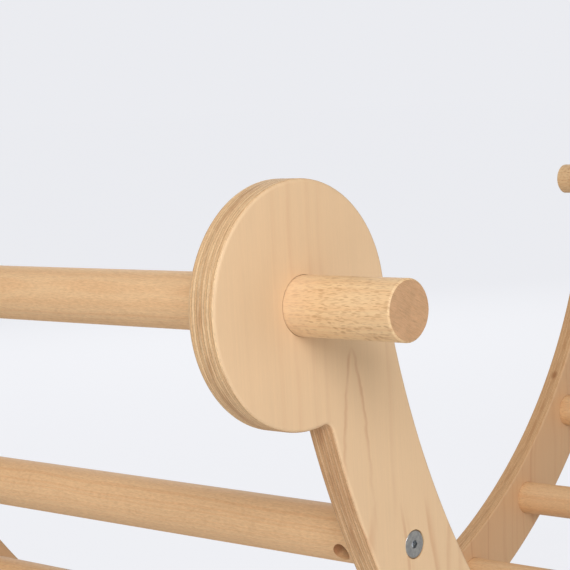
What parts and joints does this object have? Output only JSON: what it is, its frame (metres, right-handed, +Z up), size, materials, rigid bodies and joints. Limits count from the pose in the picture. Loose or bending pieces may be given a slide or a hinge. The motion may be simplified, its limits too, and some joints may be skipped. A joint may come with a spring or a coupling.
{
  "type": "rocker arch",
  "caption": "Wooden rocker arch: curved plywood side panels with round heads, joined by round beech rungs, the end rungs standing out past the panels as grips.",
  "frame": {"origin": "on the floor under the middle of the arch, which stands in its rocking position", "axes": "+X along the arch, +Y across it from the front panel to the back panel, +Z up"},
  "size_m": [1.117, 0.596, 0.4871],
  "materials": {
    "birch_plywood": "clear matt lacquer, light veneer with a laminated rim",
    "beech": "sanded, oiled",
    "zinc_steel": "zinc plated"
  },
  "bodies": {
    "root": {"side_panel_front": "birch_plywood", "side_panel_back": "birch_plywood", "end_rung_left": "beech", "end_rung_right": "beech", "rung_1": "beech", "rung_2": "beech", "rung_3": "beech", "rung_4": "beech", "rung_5": "beech", "rung_6": "beech", "rung_7": "beech", "rung_8": "beech", "rung_9": "beech", "rung_10": "beech", "rung_11": "beech", "connector_bolts_front": "zinc_steel", "connector_bolts_back": "zinc_steel", "barrel_nuts_front": "zinc_steel", "barrel_nuts_back": "zinc_steel", "locking_screws_front": "zinc_steel", "locking_screws_back": "zinc_steel"}
  },
  "joints": []
}
